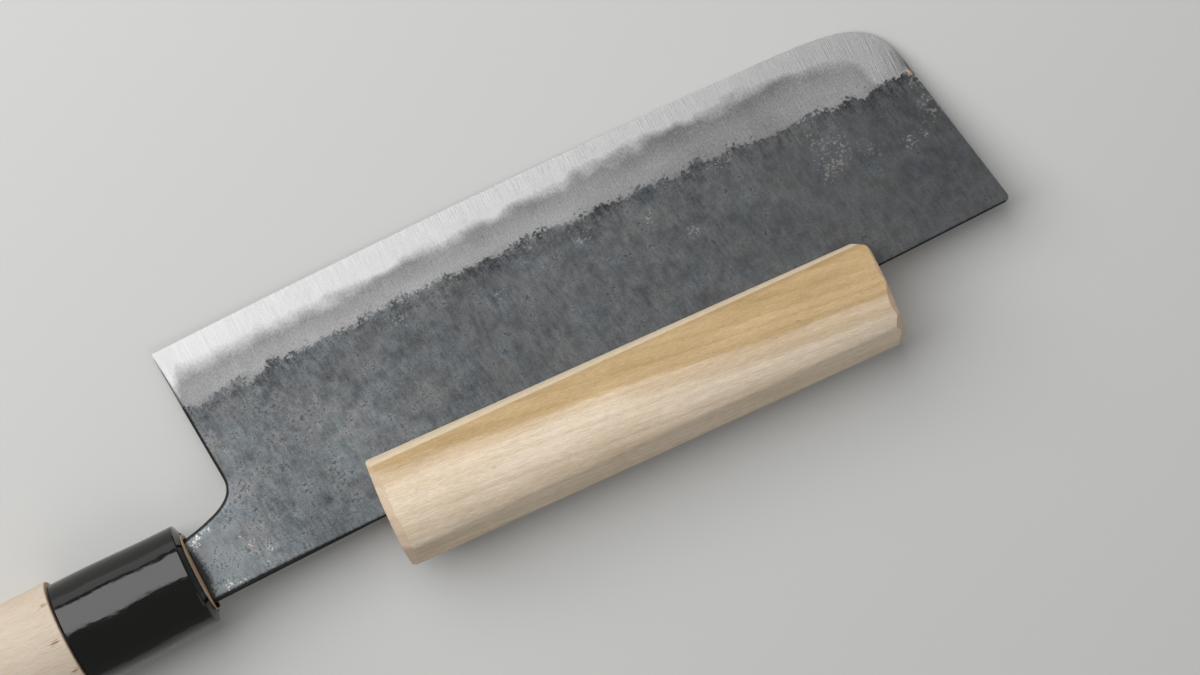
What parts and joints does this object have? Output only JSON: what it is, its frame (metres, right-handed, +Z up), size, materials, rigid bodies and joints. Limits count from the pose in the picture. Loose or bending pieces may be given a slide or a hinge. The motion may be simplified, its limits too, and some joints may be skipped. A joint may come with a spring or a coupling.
{
  "type": "mochi knife",
  "caption": "Two-handed rice-cake knife: a tall straight-spined forged blade on an oval wood handle with a black ferrule, and a second oval wood grip slotted over the spine.",
  "frame": {"origin": "on the table, under the middle of the knife's box as it lies by itself with the blade's left face up", "axes": "+X along the knife from the butt to the tip, +Y towards the cutting edge, which touches the table, +Z up"},
  "size_m": [0.3632, 0.082, 0.0286],
  "materials": {
    "blade_steel": "black forge skin on the flats, ground and brushed band along the edge",
    "black_ferrule": "polished black",
    "handle_wood": "bare sanded pale wood",
    "grip_wood": "bare planed pale wood with a yellow-tan streak"
  },
  "bodies": {
    "root": {"blade": "blade_steel", "ferrule": "black_ferrule", "handle": "handle_wood", "spine_grip": "grip_wood"}
  },
  "joints": []
}
